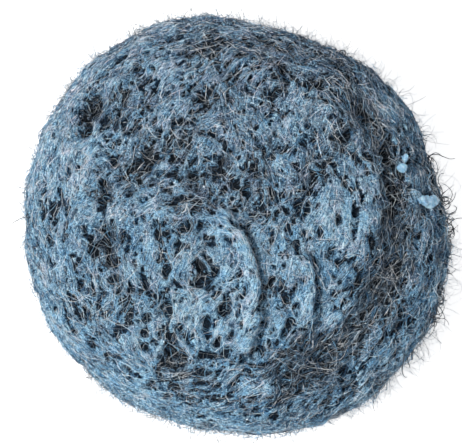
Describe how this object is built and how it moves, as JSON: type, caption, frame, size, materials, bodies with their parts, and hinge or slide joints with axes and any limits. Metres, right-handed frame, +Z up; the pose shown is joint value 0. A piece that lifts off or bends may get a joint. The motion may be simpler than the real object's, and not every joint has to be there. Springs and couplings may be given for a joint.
{
  "type": "steel wool soap pad",
  "caption": "Round scouring pad: one wad of wound and folded steel wool pressed into a domed cushion and soaked with blue soap, with lumps of soap caught near the edge.",
  "frame": {"origin": "middle of the flat that the pad lies on", "axes": "+Z up out of the domed top, along the pad's shortest extent; +X to the right of the picture, where the soap lumps are; +Y to the picture's top"},
  "size_m": [0.0633, 0.0629, 0.0244],
  "materials": {
    "soaked_wool": "matte",
    "soap": "satin",
    "bare_steel_wool": "satin"
  },
  "bodies": {
    "root": {"steel_wool_pad": "soaked_wool", "soap_lump_large": "soap", "soap_lump_middle": "soap", "soap_lump_small": "soap"}
  },
  "joints": []
}
